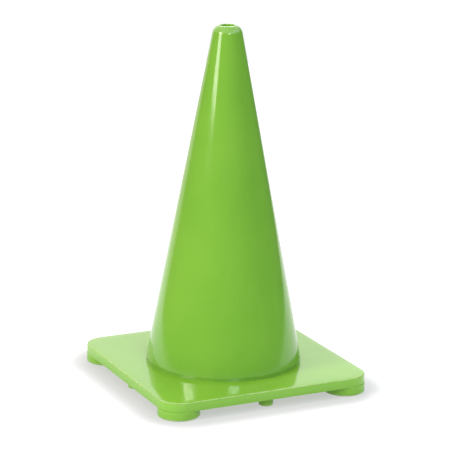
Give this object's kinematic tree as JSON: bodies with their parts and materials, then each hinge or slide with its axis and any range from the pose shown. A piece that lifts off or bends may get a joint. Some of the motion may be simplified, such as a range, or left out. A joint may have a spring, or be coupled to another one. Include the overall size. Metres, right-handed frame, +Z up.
{
  "type": "traffic cone",
  "caption": "Plain lime-green traffic cone: hollow flexible body with a holed domed tip, set in a square ballast plate on disc feet and small edge studs.",
  "frame": {"origin": "on the floor under the middle of the plate, where the body's axis meets the plane of the feet", "axes": "+Z up along the body's axis; the plate's sides lie along X and Y, with the front side at -Y and the left side at -X"},
  "size_m": [0.283, 0.283, 0.457],
  "materials": {
    "body_pvc": "glossy moulded flexible PVC, lime green",
    "plate_pvc": "glossy moulded ballast PVC, lime green",
    "foot_pvc": "satin moulded PVC, lime green"
  },
  "bodies": {
    "root": {"cone_body": "body_pvc", "base_plate": "plate_pvc", "foot_front_left": "foot_pvc", "foot_front_right": "foot_pvc", "foot_rear_right": "foot_pvc", "foot_rear_left": "foot_pvc", "edge_stud_front": "foot_pvc", "edge_stud_right": "foot_pvc", "edge_stud_rear": "foot_pvc", "edge_stud_left": "foot_pvc"}
  },
  "joints": []
}
